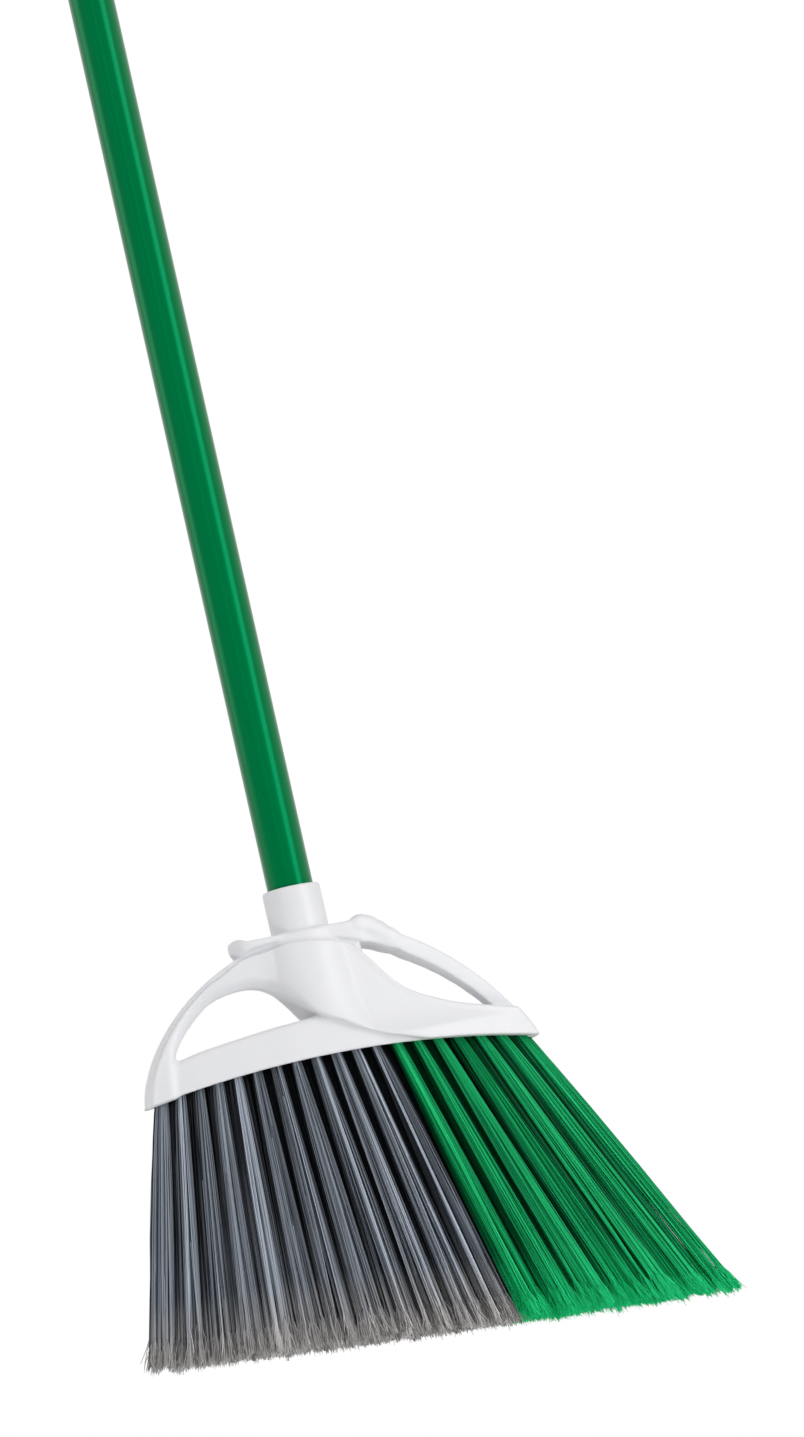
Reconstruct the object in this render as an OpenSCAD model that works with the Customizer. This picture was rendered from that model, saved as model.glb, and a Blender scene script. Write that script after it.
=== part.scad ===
// Angle broom: a round handle that screws into a moulded head with two windows and a fan of
// tufts. The origin is the centre of the hanging hole, +Z runs up the handle, +X points to the
// long side of the head and -Y is the front.

/* [Handle] */
// Outer diameter of the plastic coat
sleeve_d = 22.2; // [20:0.1:26]
// Thickness of the plastic coat
sleeve_wall = 0.75; // [0.5:0.05:1.2]
// Length of the coated tube
sleeve_len = 1118; // [600:1:1300]
// Wall of the steel tube
tube_wall = 0.4; // [0.3:0.05:1]

/* [Hanger cap] */
// Height of the full-round neck of the cap
cap_neck_h = 5; // [3:0.5:12]
// Thickness of the flat tongue that holds the hanging hole
cap_tongue_t = 9; // [7:0.5:12]
// Diameter of the hanging hole
hang_hole_d = 8; // [5:0.5:10]
// Length of the plug inside the tube
cap_plug_len = 30; // [15:1:60]

/* [Screw thread] */
// Major diameter of the handle's thread
thread_d = 18.9; // [16:0.1:18.9]
// Height of the thread's ridge
thread_depth = 2.15; // [1.5:0.05:2.4]
// Rise of the thread in one turn
thread_pitch = 5.08; // [4.5:0.02:6]
// Turns of thread on the handle
thread_turns = 5; // [3:1:5]
// Gap between the two threads at crest and root
thread_gap = 0.45; // [0.35:0.05:0.6]
// Length of the tip's plug inside the tube
tip_plug_len = 40; // [20:1:80]
// Thickness of the flange that seats in the collar
tip_flange_h = 3; // [2:0.5:5]

/* [Head] */
// Length of the head from tip to tip
head_len = 192; // [180:1:230]
// Height of the arch over the line of the head's tips
head_h = 69; // [66:1:80]
// How far the middle of the head lies to the long side of the handle
head_shift = 5.5; // [0:0.5:6]
// Fall of the lower edge for each millimetre towards the long side
edge_fall = 0.0234; // [0:0.001:0.04]
// Depth of the skirt at the middle of its lower edge
skirt_depth = 42; // [40:1:50]
// Depth of the head at its tips
tip_depth = 10; // [9:0.5:14]
// Depth of the head level with the shoulder
shoulder_depth = 28; // [28:0.1:36]
// How far the web stands proud of the skirt and the shoulder, front and back
web_proud = 1.4; // [0.5:0.1:2]
// Rise of the lower edge in the middle
edge_rise = 8.2; // [2:0.1:9]
// Wall of the skirt
skirt_wall = 2.6; // [2:0.1:3]
// Width of the arch band, seen from the front
arch_band = 8.5; // [6:0.1:9]
// Depth of the arch band at the tips
arch_tip_depth = 9; // [6:0.5:10]
// Length of the shoulder bar from the handle's axis to its end on the short side
shoulder_short = 33.8; // [26:0.1:36]
// Length of the shoulder bar from the handle's axis to its end on the long side
shoulder_long = 27; // [24:0.1:30]
// Radius of the round bead at each end of the shoulder bar
ear_r = 4.3; // [3:0.1:5]
// How far the short side's bead rises over the shoulder bar
ear_rise_short = 0.8; // [0:0.1:3]
// How far the long side's bead rises over the shoulder bar
ear_rise_long = 2.4; // [0:0.1:3]
// Outer diameter of the collar
collar_d = 27.9; // [27:0.1:30]
// Height of the collar over the shoulder
collar_h = 21.8; // [16:0.1:34]
// How deep the handle sits in the collar
seat_depth = 12; // [6:0.5:14]
// Gap between the handle and the collar's bore
collar_gap = 0.35; // [0.3:0.05:0.6]

/* [Bristle block] */
// Thickness of the block
block_h = 10; // [9.5:0.1:11]
// How far the block's face lies inside the skirt's edge
block_inset = 1.5; // [0.5:0.1:2]

/* [Tufts] */
// Columns of tufts from tip to tip
columns = 19; // [15:1:19]
// Columns of grey tufts, counted from the short side
grey_columns = 12; // [4:1:14]
// Distance from the head's tip to the nearest column
end_margin = 8; // [7.9:0.1:12]
// How far the middle column is moved to the short side, where the columns stand closer
column_crowd = 4.7; // [0:0.1:5]
// Diameter of a tuft in its hole
tuft_d = 5; // [4:0.1:5.4]
// Width of a tuft at its tip, along the head
tuft_tip_w = 13.2; // [8:0.1:13.6]
// Depth of a tuft at its tip, front to back
tuft_tip_t = 10; // [7:0.1:10.4]
// Depth of a tuft hole
hole_depth = 7; // [6:0.1:7.4]
// Lean of the first column towards the short side, in degrees
lean_first = -12.2; // [-16:0.1:0]
// Lean of the last column towards the long side, in degrees
lean_last = 26.8; // [16:0.1:28]
// Splay of the outermost rows, front and back, in degrees
splay = 4.5; // [3:0.5:6]
// Drop from the shoulder to the tuft tips, at the handle's axis
tip_drop = 195.5; // [150:0.5:240]
// Extra drop of the tips for each millimetre along the head
tip_slope = 0.08; // [0:0.01:0.12]
// Thickness of the flat wire that anchors a tuft
anchor_t = 0.5; // [0.3:0.1:0.8]
// Width of that wire along the hole
anchor_w = 1.8; // [1:0.1:2]

/* [Hidden] */
$fn = 96;
wide_fn = 360;              // steps round the big cylinders that bend the head's walls

run_gap = 0.05;             // radial clearance of a round running fit
face_gap = 0.2;             // end play between the tube and what caps it
fit_gap = 0.15;             // clearance between the block and its pocket
past = 1;                   // how far a cutter runs past the face that it cuts

sleeve_r = sleeve_d / 2;
tube_r = sleeve_r - sleeve_wall - run_gap;
plug_r = tube_r - tube_wall - run_gap;
collar_r = collar_d / 2;
seat_bore_r = sleeve_r + collar_gap;
thread_r = thread_d / 2;
core_r = thread_r - thread_depth;
socket_r = thread_r + thread_gap;
thread_len = thread_pitch * thread_turns;
nose_h = 3;                 // plain end below the thread
nose_gap = 2;               // space left below that end
ridge_root = 0.4;           // how deep a thread's ridge is rooted in its cylinder
thread_lead = 1.5;          // plain neck between the flange and the thread

// Heights over the shoulder's top face, which is the head's own zero.
seat_z = collar_h - seat_depth;
sleeve_z = seat_z + tip_flange_h;
sleeve_top_z = sleeve_z + sleeve_len;
hole_z = sleeve_top_z + cap_neck_h + sleeve_r;
thread_top_z = seat_z - thread_lead;
tip_end_z = thread_top_z - thread_len - nose_h;
socket_end_z = tip_end_z - nose_gap;

// Outline of the head: a dome over the tips, squarer on the short side than on the long side.
dome_power_short = 0.63;
dome_power_long = 0.81;
dome_steps = 48;
half_len = head_len / 2;
shoulder_bar_h = 2 * ear_r;
draft = (skirt_depth - shoulder_depth) / 2 / head_h;
foot_z = -head_h - edge_fall * half_len - past;

// Lens in plan: two round faces that meet the tip depth at both ends.
lens_r = (pow(half_len, 2) + pow((skirt_depth - tip_depth) / 2, 2)) / (skirt_depth - tip_depth);
lens_off = lens_r - skirt_depth / 2;
edge_r = (pow(half_len, 2) + pow(edge_rise, 2)) / (2 * edge_rise);
edge_mid_u = -edge_r * sin(atan(edge_fall));
edge_mid_z = -head_h + edge_rise - edge_r * cos(atan(edge_fall));

// Edges of the web in the front view. It leaves the arch on the short side, crosses under the
// collar and spreads into the skirt on the long side, like a wave.
web_left_edge = [[-50, -24.4], [-45.3, -22.8], [-38.5, -21.6], [-31.8, -21.3], [-25.5, -22.5],
                 [-20.7, -24.9], [-15, -28.9], [-9.5, -34.1], [-5, -39.4], [0, -43], [5.5, -45.8],
                 [10, -48.8], [17, -52.8], [25, -56.5], [32, -59], [39, -61.3], [52, -65.4]];
web_top_edge = [[-50, -10.8], [-33, -8], [-20, -6.2], [-8, -5.4], [8, -7], [17.5, -9.8],
                [22.6, -13.8], [28.1, -21.1], [31.9, -27], [36.9, -33.1], [41.5, -37.4],
                [48.6, -41.7], [56, -45.1], [63.5, -48.2], [73, -51], [86, -54.2], [98, -56.8]];
skirt_top_edge = [[-97, -54.8], [-76, -49.4], [-62.7, -46.6], [-53.6, -45.4], [-42, -44.2],
                  [-25, -42.6], [-17, -42.3], [0, -41.3], [20, -41.8]];
curve_steps = 4;            // points between two of an outline's own points

// Hollow of the web above the block.
web_hollow = [[-4, -60], [2, -51], [12, -47], [15, -30], [19, -24], [25, -30], [34, -40],
              [48, -48], [62, -53], [62, -60]];
hollow_depth = 22;

function dome_z(u, half, rise) =
    let (power = u < 0 ? dome_power_short : dome_power_long)
    -head_h - edge_fall * u + rise * pow(max(0, 1 - pow(u / half, 2)), power);

// Points along the dome from one tip to the other, close together where it is steep.
function dome_points(half, rise) =
    [for (i = [0:dome_steps])
        let (u = -half * cos(180 * i / dome_steps)) [head_shift + u, dome_z(u, half, rise)]];

// Catmull-Rom curve through the points of a list.
function curve_point(p, i, t) =
    let (a = p[max(i - 1, 0)], b = p[i], c = p[i + 1], d = p[min(i + 2, len(p) - 1)])
    0.5 * (2 * b + (c - a) * t + (2 * a - 5 * b + 4 * c - d) * t * t
           + (3 * b - a - 3 * c + d) * t * t * t);

function curve(p) =
    concat([for (i = [0:len(p) - 2]) for (k = [0:curve_steps - 1])
                curve_point(p, i, k / curve_steps)],
           [p[len(p) - 1]]);

function reversed(p) = [for (i = [len(p) - 1:-1:0]) p[i]];

// Where the tufts stand: columns along the head, rows from front (1) to back (5).
row_count = 5;
middle_row = (row_count + 1) / 2;
hole_gap = 0.1;
wall_margin = 0.5;          // least wall between a tuft hole and the pocket's side
hole_wall = 0.4;            // least wall between two rows of holes, on the block's face
tuft_steps = 16;            // points round a tuft
tuft_throat = 1;            // length below the face on which a tuft doesn't spread yet
tuft_flare = 0.3;           // step by which it widens there, all round

row_pitch_min = tuft_d + 2 * hole_gap + hole_wall;
stagger_min = 0.4 * tuft_tip_t;   // least step in depth from a staggered tuft to the outer row

// Height of the block's arched face at a distance from the head's middle.
function face_z(u) =
    edge_mid_z + sqrt(pow(edge_r + block_inset, 2) - pow(u - edge_mid_u, 2));

// Place of a column from the head's middle, for whole and half numbers of c.
function column_u(c) =
    let (share = 2 * c / (columns - 1) - 1)
    share * (half_len - end_margin) - column_crowd * (1 - pow(share, 2));
function column_x(c) = head_shift + column_u(c);
function column_lean(c) = lean_first + (lean_last - lean_first) * c / (columns - 1);

// Half the depth of the block at the bottom of a tuft hole, where the leaning walls are closest.
function pocket_half(u) =
    let (wall_r = lens_r - skirt_wall - fit_gap - draft * (head_h + face_z(u) + hole_depth))
    sqrt(pow(wall_r, 2) - pow(u, 2)) - lens_off;
function row_reach(c) = pocket_half(column_u(c)) - tuft_d / 2 - hole_gap - wall_margin;
function row_y(c, r) = row_reach(c) * (r - middle_row) / (middle_row - 1);
function row_splay(r) = splay * (r - middle_row) / (middle_row - 1);

// The rows beside the middle row stand half a column further on, in the gaps of the others.
function is_staggered(r) = abs(r - middle_row) == 1;
function tuft_place(i, r) = is_staggered(r) ? i + 0.5 : i;

// Whether there is room for the tuft that has number i in row r: the middle row needs room for
// three tufts or for only one, and a staggered row lies well inside its outer neighbours.
function has_tuft(i, r) =
    let (c = tuft_place(i, r), reach = row_reach(c))
    r == middle_row ? (reach >= row_pitch_min || reach * 2 < row_pitch_min)
    : !is_staggered(r) ? reach * 2 >= row_pitch_min
    : i < columns - 1 && reach >= row_pitch_min
      && min(row_reach(i), row_reach(i + 1)) - reach / 2 >= stagger_min;

function tip_z(x) = -tip_drop - tip_slope * x;

// Drop of a tuft's middle from the block's face to the sloping line of the tips.
function tuft_drop(c) =
    let (slope = tip_slope * tan(column_lean(c)))
    (face_z(column_u(c)) - tip_z(column_x(c))) / (1 - slope);

// Moves a piece from the head's own zero to the place below the hanging hole.
module from_shoulder() {
    translate([0, 0, -hole_z]) children();
}

// Extrudes an outline drawn in the front view, half the depth to each side of the middle.
module front_view(depth) {
    rotate([90, 0, 0])
        linear_extrude(height = depth, center = true) children();
}

// A trapezoid ridge wound round the Z axis from z = 0 upward, faded out at both ends.
module helical_ridge(foot_r, crest_r, foot_w, crest_w, turns) {
    ring_steps = 24;
    fade = 6;
    least = 0.15;
    n = ring_steps * turns;
    points = [for (i = [0:n])
        let (a = 360 * i / ring_steps, z = thread_pitch * i / ring_steps,
             k = min(1, i / fade, (n - i) / fade),
             r = foot_r + (crest_r - foot_r) * max(k, least))
        for (q = [[foot_r, -foot_w / 2], [r, -crest_w / 2], [r, crest_w / 2],
                  [foot_r, foot_w / 2]])
            [q[0] * cos(a), q[0] * sin(a), z + q[1]]];
    flip = crest_r < foot_r;
    sides = [for (i = [0:n - 1]) for (k = [0:3])
        let (a = 4 * i + k, b = 4 * i + (k + 1) % 4)
        for (t = [[a, a + 4, b], [b, a + 4, b + 4]]) t];
    ends = [[0, 1, 2], [0, 2, 3], [4 * n, 4 * n + 2, 4 * n + 1], [4 * n, 4 * n + 3, 4 * n + 2]];
    faces = concat(sides, ends);
    polyhedron(points, flip ? faces : [for (f = faces) [f[0], f[2], f[1]]]);
}

// Green plastic coat of the handle.
module handle_sleeve() {
    color("#007a41")
    from_shoulder()
    translate([0, 0, sleeve_z])
    difference() {
        cylinder(h = sleeve_len, r = sleeve_r);
        translate([0, 0, -past])
            cylinder(h = sleeve_len + 2 * past, r = sleeve_r - sleeve_wall);
    }
}

// Thin steel tube that carries the load.
module handle_tube() {
    color("#b8bcc0")
    from_shoulder()
    translate([0, 0, sleeve_z + face_gap])
    difference() {
        cylinder(h = sleeve_len - 2 * face_gap, r = tube_r);
        translate([0, 0, -past])
            cylinder(h = sleeve_len + 2 * past, r = tube_r - tube_wall);
    }
}

// Cap at the top: a plug in the tube, a round neck, and a flat tongue with the hanging hole.
module hanger_cap() {
    color("#f2f2f2")
    from_shoulder()
    difference() {
        union() {
            translate([0, 0, sleeve_top_z - cap_plug_len])
                cylinder(h = cap_plug_len + past, r = plug_r);
            translate([0, 0, sleeve_top_z])
                cylinder(h = cap_neck_h, r = sleeve_r);
            intersection() {
                translate([0, 0, sleeve_top_z + cap_neck_h - past])
                    cylinder(h = 2 * sleeve_r + past, r = sleeve_r);
                union() {
                    translate([0, 0, hole_z])
                        rotate([90, 0, 0])
                            cylinder(h = cap_tongue_t, r = sleeve_r, center = true);
                    translate([-sleeve_r, -cap_tongue_t / 2, sleeve_top_z + cap_neck_h - past])
                        cube([sleeve_d, cap_tongue_t, sleeve_r + past]);
                }
            }
        }
        translate([0, 0, hole_z])
            rotate([90, 0, 0])
                cylinder(h = sleeve_d, d = hang_hole_d, center = true);
    }
}

// Moulded end of the handle: a plug in the tube, a flange and a coarse right-hand thread.
module threaded_tip() {
    foot_w = 2.7;
    crest_w = 1.6;
    color("#1c1d1f")
    from_shoulder()
    union() {
        translate([0, 0, sleeve_z - past])
            cylinder(h = tip_plug_len + past, r = plug_r);
        translate([0, 0, seat_z])
            cylinder(h = tip_flange_h, r = sleeve_r);
        translate([0, 0, tip_end_z])
            cylinder(h = seat_z - tip_end_z + past, r = core_r);
        translate([0, 0, thread_top_z - thread_len])
            helical_ridge(core_r - ridge_root, thread_r, foot_w, crest_w, thread_turns);
    }
}

// Front outline inside the dome, taken in by a band all round and run on below the tips' level.
module dome_outline(band, below = 0) {
    half = half_len - band;
    foot = [[head_shift + half, foot_z - below], [head_shift - half, foot_z - below]];
    polygon(concat(dome_points(half, head_h - band), below > 0 ? foot : []));
}

// Front outline of the arch band.
module arch_outline() {
    difference() {
        dome_outline(0);
        dome_outline(arch_band);
    }
}

// Front outline of the skirt: from its top edge down to the tips' level.
module skirt_outline() {
    intersection() {
        dome_outline(0);
        polygon(concat([[skirt_top_edge[0][0], foot_z]], curve(skirt_top_edge),
                       [[half_len + 2 * head_shift, web_top_edge[len(web_top_edge) - 1][1]],
                        [half_len + 2 * head_shift, foot_z]]));
    }
}

// Front outline of the web: the short side's arch, the middle, and the long side's skirt.
module web_outline() {
    corner = half_len + 2 * head_shift;
    intersection() {
        dome_outline(0);
        union() {
            polygon(concat(curve(web_top_edge), [[corner, foot_z]],
                           [[web_left_edge[len(web_left_edge) - 1][0], foot_z]],
                           reversed(curve(web_left_edge))));
            difference() {
                dome_outline(0);
                dome_outline(arch_band);
                translate([web_top_edge[0][0] + past, foot_z])
                    square([head_len, past - foot_z]);
            }
        }
    }
}

// Envelope of the head in depth: two leaning round walls, deepest in the middle of the edge.
module lens_body(proud) {
    intersection_for (side = [-1, 1]) {
        translate([head_shift, side * lens_off, foot_z])
            cylinder(h = past - foot_z, r1 = lens_r - draft * (head_h + foot_z) + proud,
                     r2 = lens_r - draft * (head_h + past) + proud, $fn = wide_fn);
    }
}

// Plan of the arch band: as deep as the shoulder in the middle, slim at the tips.
module arch_plan() {
    plan_steps = 32;
    arch_power = 1.4;
    flat_half = 15;         // half the stretch over which the arch stays full depth
    edge = [for (i = [0:plan_steps])
        let (u = half_len * (2 * i / plan_steps - 1))
        [u, arch_tip_depth / 2
            + (shoulder_depth - arch_tip_depth) / 2
            * pow(max(0, 1 - max(0, abs(u) - flat_half) / (half_len - flat_half)), arch_power)]];
    translate([head_shift, 0, 0])
        polygon(concat(edge, [for (i = [plan_steps:-1:0]) [edge[i][0], -edge[i][1]]]));
}

// White moulded head with the collar, the arch, the web and the skirt, in one piece.
module head_shell() {
    foot_w = 2.4;
    crest_w = 1.5;
    socket_turns = thread_turns - 1;
    color("#eeeef0")
    from_shoulder()
    union() {
        difference() {
            union() {
                intersection() {
                    lens_body(0);
                    front_view(2 * skirt_depth) skirt_outline();
                }
                intersection() {
                    lens_body(web_proud);
                    front_view(2 * skirt_depth) web_outline();
                }
                intersection() {
                    translate([0, 0, foot_z])
                        linear_extrude(height = past - foot_z) arch_plan();
                    front_view(2 * skirt_depth) arch_outline();
                }
                translate([-shoulder_short, -shoulder_depth / 2, -shoulder_bar_h])
                    cube([shoulder_short + shoulder_long, shoulder_depth, shoulder_bar_h]);
                for (ear = [[-shoulder_short, ear_rise_short], [shoulder_long, ear_rise_long]]) {
                    translate([ear[0], 0, ear[1] - ear_r])
                        rotate([90, 0, 0])
                            cylinder(h = shoulder_depth, r = ear_r, center = true);
                }
                translate([0, 0, socket_end_z - skirt_wall])
                    cylinder(h = collar_h - socket_end_z + skirt_wall, r = collar_r);
            }
            translate([0, 0, seat_z])
                cylinder(h = seat_depth + past, r = seat_bore_r);
            translate([0, 0, socket_end_z])
                cylinder(h = seat_z - socket_end_z + past, r = socket_r);
            arched_cutter(0);
            block_space(0);
            intersection() {
                lens_body(-2 * skirt_wall);
                front_view(hollow_depth) polygon(web_hollow);
            }
        }
        translate([0, 0, thread_top_z - thread_len + thread_pitch / 2])
            helical_ridge(socket_r + ridge_root, core_r + thread_gap, foot_w, crest_w, socket_turns);
    }
}

// Big cylinder across the head whose round top is an arched face, this far over the edge.
module arched_cutter(lift) {
    translate([head_shift + edge_mid_u, 0, edge_mid_z])
        rotate([90, 0, 0])
            cylinder(h = 2 * skirt_depth, r = edge_r + lift, center = true, $fn = wide_fn);
}

// Space inside the skirt's wall, from below the edge up to its arched roof.
module block_space(gap) {
    band = skirt_wall + gap;
    intersection() {
        lens_body(-band);
        front_view(2 * skirt_depth) dome_outline(band, past);
        arched_cutter(block_inset + block_h);
    }
}

// Drilled block that holds the tufts.
module bristle_block() {
    color("#26282a")
    from_shoulder()
    difference() {
        block_space(fit_gap);
        arched_cutter(block_inset);
        for (i = [0:columns - 1]) for (r = [1:row_count]) {
            if (has_tuft(i, r)) {
                at_tuft(tuft_place(i, r), r)
                    translate([0, 0, -hole_depth])
                        cylinder(h = hole_depth + past, d = tuft_d + 2 * hole_gap, $fn = 32);
            }
        }
    }
}

// Puts a piece on the axis of one tuft: z = 0 on the block's face, +Z away from the block.
module at_tuft(c, r) {
    translate([column_x(c), row_y(c, r), face_z(column_u(c))])
        rotate([row_splay(r), -column_lean(c), 0])
            rotate([180, 0, 0])
                children();
}

// One tuft: round and tight in its hole, spreading to a flat oval tip on the sloping tip line.
// The rings of the spreading part lie level, so they are stretched where the tuft leans.
module tuft(c, r) {
    lean = column_lean(c);
    drop = tuft_drop(c);
    x0 = column_x(c);
    y0 = row_y(c, r);
    z0 = face_z(column_u(c));
    grip = hole_depth - anchor_w - 2 * hole_gap;
    at_tuft(c, r)
        translate([0, 0, -grip])
            cylinder(h = grip + 2 * tuft_throat, d = tuft_d, $fn = 32);
    points = [for (t = [0, 1]) for (i = [0:tuft_steps - 1])
        let (a = 360 * i / tuft_steps,
             down = t == 0 ? tuft_throat : drop,
             half_w = t == 0 ? tuft_d / 2 + tuft_flare : tuft_tip_w / 2,
             half_t = t == 0 ? tuft_d / 2 + tuft_flare : tuft_tip_t / 2,
             x = half_w / cos(lean) * cos(a),
             y = half_t * sin(a))
        [x0 + down * tan(lean) + x, y0 + down * tan(row_splay(r)) + y,
         z0 - down - t * tip_slope * x]];
    sides = [for (i = [0:tuft_steps - 1])
        let (j = (i + 1) % tuft_steps)
        for (f = [[i, j, i + tuft_steps], [j, j + tuft_steps, i + tuft_steps]]) f];
    root = [for (i = [tuft_steps - 1:-1:0]) i];
    tip = [for (i = [0:tuft_steps - 1]) tuft_steps + i];
    polyhedron(points, concat(sides, [root, tip]));
}

module tuft_row(r, first, last) {
    from_shoulder()
    for (i = [first:last]) {
        if (has_tuft(i, r)) tuft(tuft_place(i, r), r);
    }
}

module grey_row(r) {
    color("#5b6570") tuft_row(r, 0, grey_columns - 1);
}

module green_row(r) {
    color("#009a4e") tuft_row(r, grey_columns, columns - 1);
}

// Flat wire across the bottom of each hole, over the fold of the tuft.
module anchor_row(r) {
    color("#c8b070")
    from_shoulder()
    for (i = [0:columns - 1]) {
        if (has_tuft(i, r)) {
            at_tuft(tuft_place(i, r), r)
                translate([0, 0, -hole_depth + hole_gap + anchor_w / 2])
                    cube([tuft_d, anchor_t, anchor_w], center = true);
        }
    }
}

module grey_tufts_row_1() { grey_row(1); }
module grey_tufts_row_2() { grey_row(2); }
module grey_tufts_row_3() { grey_row(3); }
module grey_tufts_row_4() { grey_row(4); }
module grey_tufts_row_5() { grey_row(5); }
module green_tufts_row_1() { green_row(1); }
module green_tufts_row_2() { green_row(2); }
module green_tufts_row_3() { green_row(3); }
module green_tufts_row_4() { green_row(4); }
module green_tufts_row_5() { green_row(5); }
module tuft_anchors_row_1() { anchor_row(1); }
module tuft_anchors_row_2() { anchor_row(2); }
module tuft_anchors_row_3() { anchor_row(3); }
module tuft_anchors_row_4() { anchor_row(4); }
module tuft_anchors_row_5() { anchor_row(5); }

handle_sleeve();
handle_tube();
hanger_cap();
threaded_tip();
head_shell();
bristle_block();
grey_tufts_row_1();
grey_tufts_row_2();
grey_tufts_row_3();
grey_tufts_row_4();
grey_tufts_row_5();
green_tufts_row_1();
green_tufts_row_2();
green_tufts_row_3();
green_tufts_row_4();
green_tufts_row_5();
tuft_anchors_row_1();
tuft_anchors_row_2();
tuft_anchors_row_3();
tuft_anchors_row_4();
tuft_anchors_row_5();
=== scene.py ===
"""Looks of an angle broom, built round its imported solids.

A glossy coated handle screws into a white moulded head with two windows, and the head holds a
fan of fibre tufts, slate grey on the short side and green on the long side. The broom hangs by
the hole in its cap, so the floor lies well below it.

Lengths inside the classes are millimetres. The head is worked out in its own coordinates, with
zero at the middle of the shoulder's top face, and moved to its place when its mesh is made.
"""

import logging
import math
from dataclasses import dataclass
from enum import Enum

import bpy
import numpy as np
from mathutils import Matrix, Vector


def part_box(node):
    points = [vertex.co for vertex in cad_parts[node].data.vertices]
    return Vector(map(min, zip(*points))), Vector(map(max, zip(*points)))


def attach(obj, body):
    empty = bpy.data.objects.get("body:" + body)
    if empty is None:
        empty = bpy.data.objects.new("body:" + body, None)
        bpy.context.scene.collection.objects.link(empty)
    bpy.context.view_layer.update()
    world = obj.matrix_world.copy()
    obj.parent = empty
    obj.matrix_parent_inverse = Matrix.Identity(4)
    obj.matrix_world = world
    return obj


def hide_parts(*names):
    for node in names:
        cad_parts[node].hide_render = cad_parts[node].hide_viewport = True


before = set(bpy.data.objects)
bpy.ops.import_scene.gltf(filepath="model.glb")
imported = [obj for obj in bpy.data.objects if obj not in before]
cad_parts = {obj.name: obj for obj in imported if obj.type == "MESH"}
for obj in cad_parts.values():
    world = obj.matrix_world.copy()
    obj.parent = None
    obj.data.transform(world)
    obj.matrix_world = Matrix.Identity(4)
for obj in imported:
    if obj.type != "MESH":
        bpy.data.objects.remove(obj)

import openvdb
from mathutils import Matrix, Vector

LOG = logging.getLogger("angle_broom")
MM = 0.001
Array = np.ndarray
Curve = tuple[tuple[float, float], ...]
Node = bpy.types.Node
Tree = bpy.types.NodeTree
Socket = bpy.types.NodeSocket
Material = bpy.types.Material
Inputs = dict[str | int, object]
# Fibre values: shade is each strand's own tone, depth the share of painted shade, flag the split
# tip.
FIBRE_LAYERS = ("shade", "depth", "flag")
GOLDEN_ANGLE = 2.399963
MIDDLE_ROW = 3

# ---- materials


def linear(code: str) -> tuple[float, float, float, float]:
    """Turn an sRGB hex colour into linear light, with an alpha of one."""
    parts = [int(code[i : i + 2], 16) / 255 for i in (1, 3, 5)]
    bright = [c / 12.92 if c <= 0.04045 else ((c + 0.055) / 1.055) ** 2.4 for c in parts]
    return (*bright, 1.0)


def feed(node: Node, inputs: Inputs) -> None:
    """Set a node's inputs by name or number: a socket is linked, a hex colour made linear."""
    for name, value in inputs.items():
        if isinstance(value, Socket):
            node.id_data.links.new(value, node.inputs[name])
        else:
            node.inputs[name].default_value = linear(value) if isinstance(value, str) else value


def add_node(tree: Tree, kind: str, inputs: Inputs | None = None, **settings: object) -> Node:
    """Add a shader node of this kind, change its own settings and feed its inputs."""
    node = tree.nodes.new("ShaderNode" + kind)
    for name, value in settings.items():
        setattr(node, name, value)
    feed(node, inputs or {})
    return node


def noise(tree: Tree, size_mm: float, detail: float, stretch: float = 1.0) -> Socket:
    """Noise from 0 to 1 on object coordinates, in blotches drawn out along Z by the stretch."""
    place = add_node(tree, "TexCoord").outputs["Object"]
    inputs = {"Vector": place, "Scale": (1.0, 1.0, 1.0 / stretch)}
    turn = add_node(tree, "Mapping", inputs).outputs["Vector"]
    inputs = {"Vector": turn, "Scale": 1.0 / (size_mm * MM), "Detail": detail}
    return add_node(tree, "TexNoise", inputs).outputs["Fac"]


def mixed(share: Socket, first: str | Socket, second: str | Socket) -> Socket:
    """Mix two colours, hex or socket. Where the share is 1, only the second is left."""
    inputs = {0: share, 6: first, 7: second}
    return add_node(share.id_data, "Mix", inputs, data_type="RGBA").outputs[2]


def bumped(pattern: Socket, strength: float, height: float) -> Socket:
    """Turn a pattern into a bumpy normal. The height is metres."""
    inputs = {"Height": pattern, "Strength": strength, "Distance": height}
    return add_node(pattern.id_data, "Bump", inputs).outputs["Normal"]


@dataclass(frozen=True)
class Finish:
    """A surface finish: what it is called and what its shader starts from."""

    name: str
    roughness: float
    ior: float = 1.5

    def inputs(self, tree: Tree) -> Inputs:
        """Add the finish's own nodes and return the shader's further inputs."""
        return {}

    def build(self) -> Material:
        """Make the material."""
        material = bpy.data.materials.new(self.name)
        material.use_nodes = True
        tree = material.node_tree
        inputs = {"Roughness": self.roughness, "IOR": self.ior, **self.inputs(tree)}
        feed(tree.nodes["Principled BSDF"], inputs)
        return material


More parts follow.
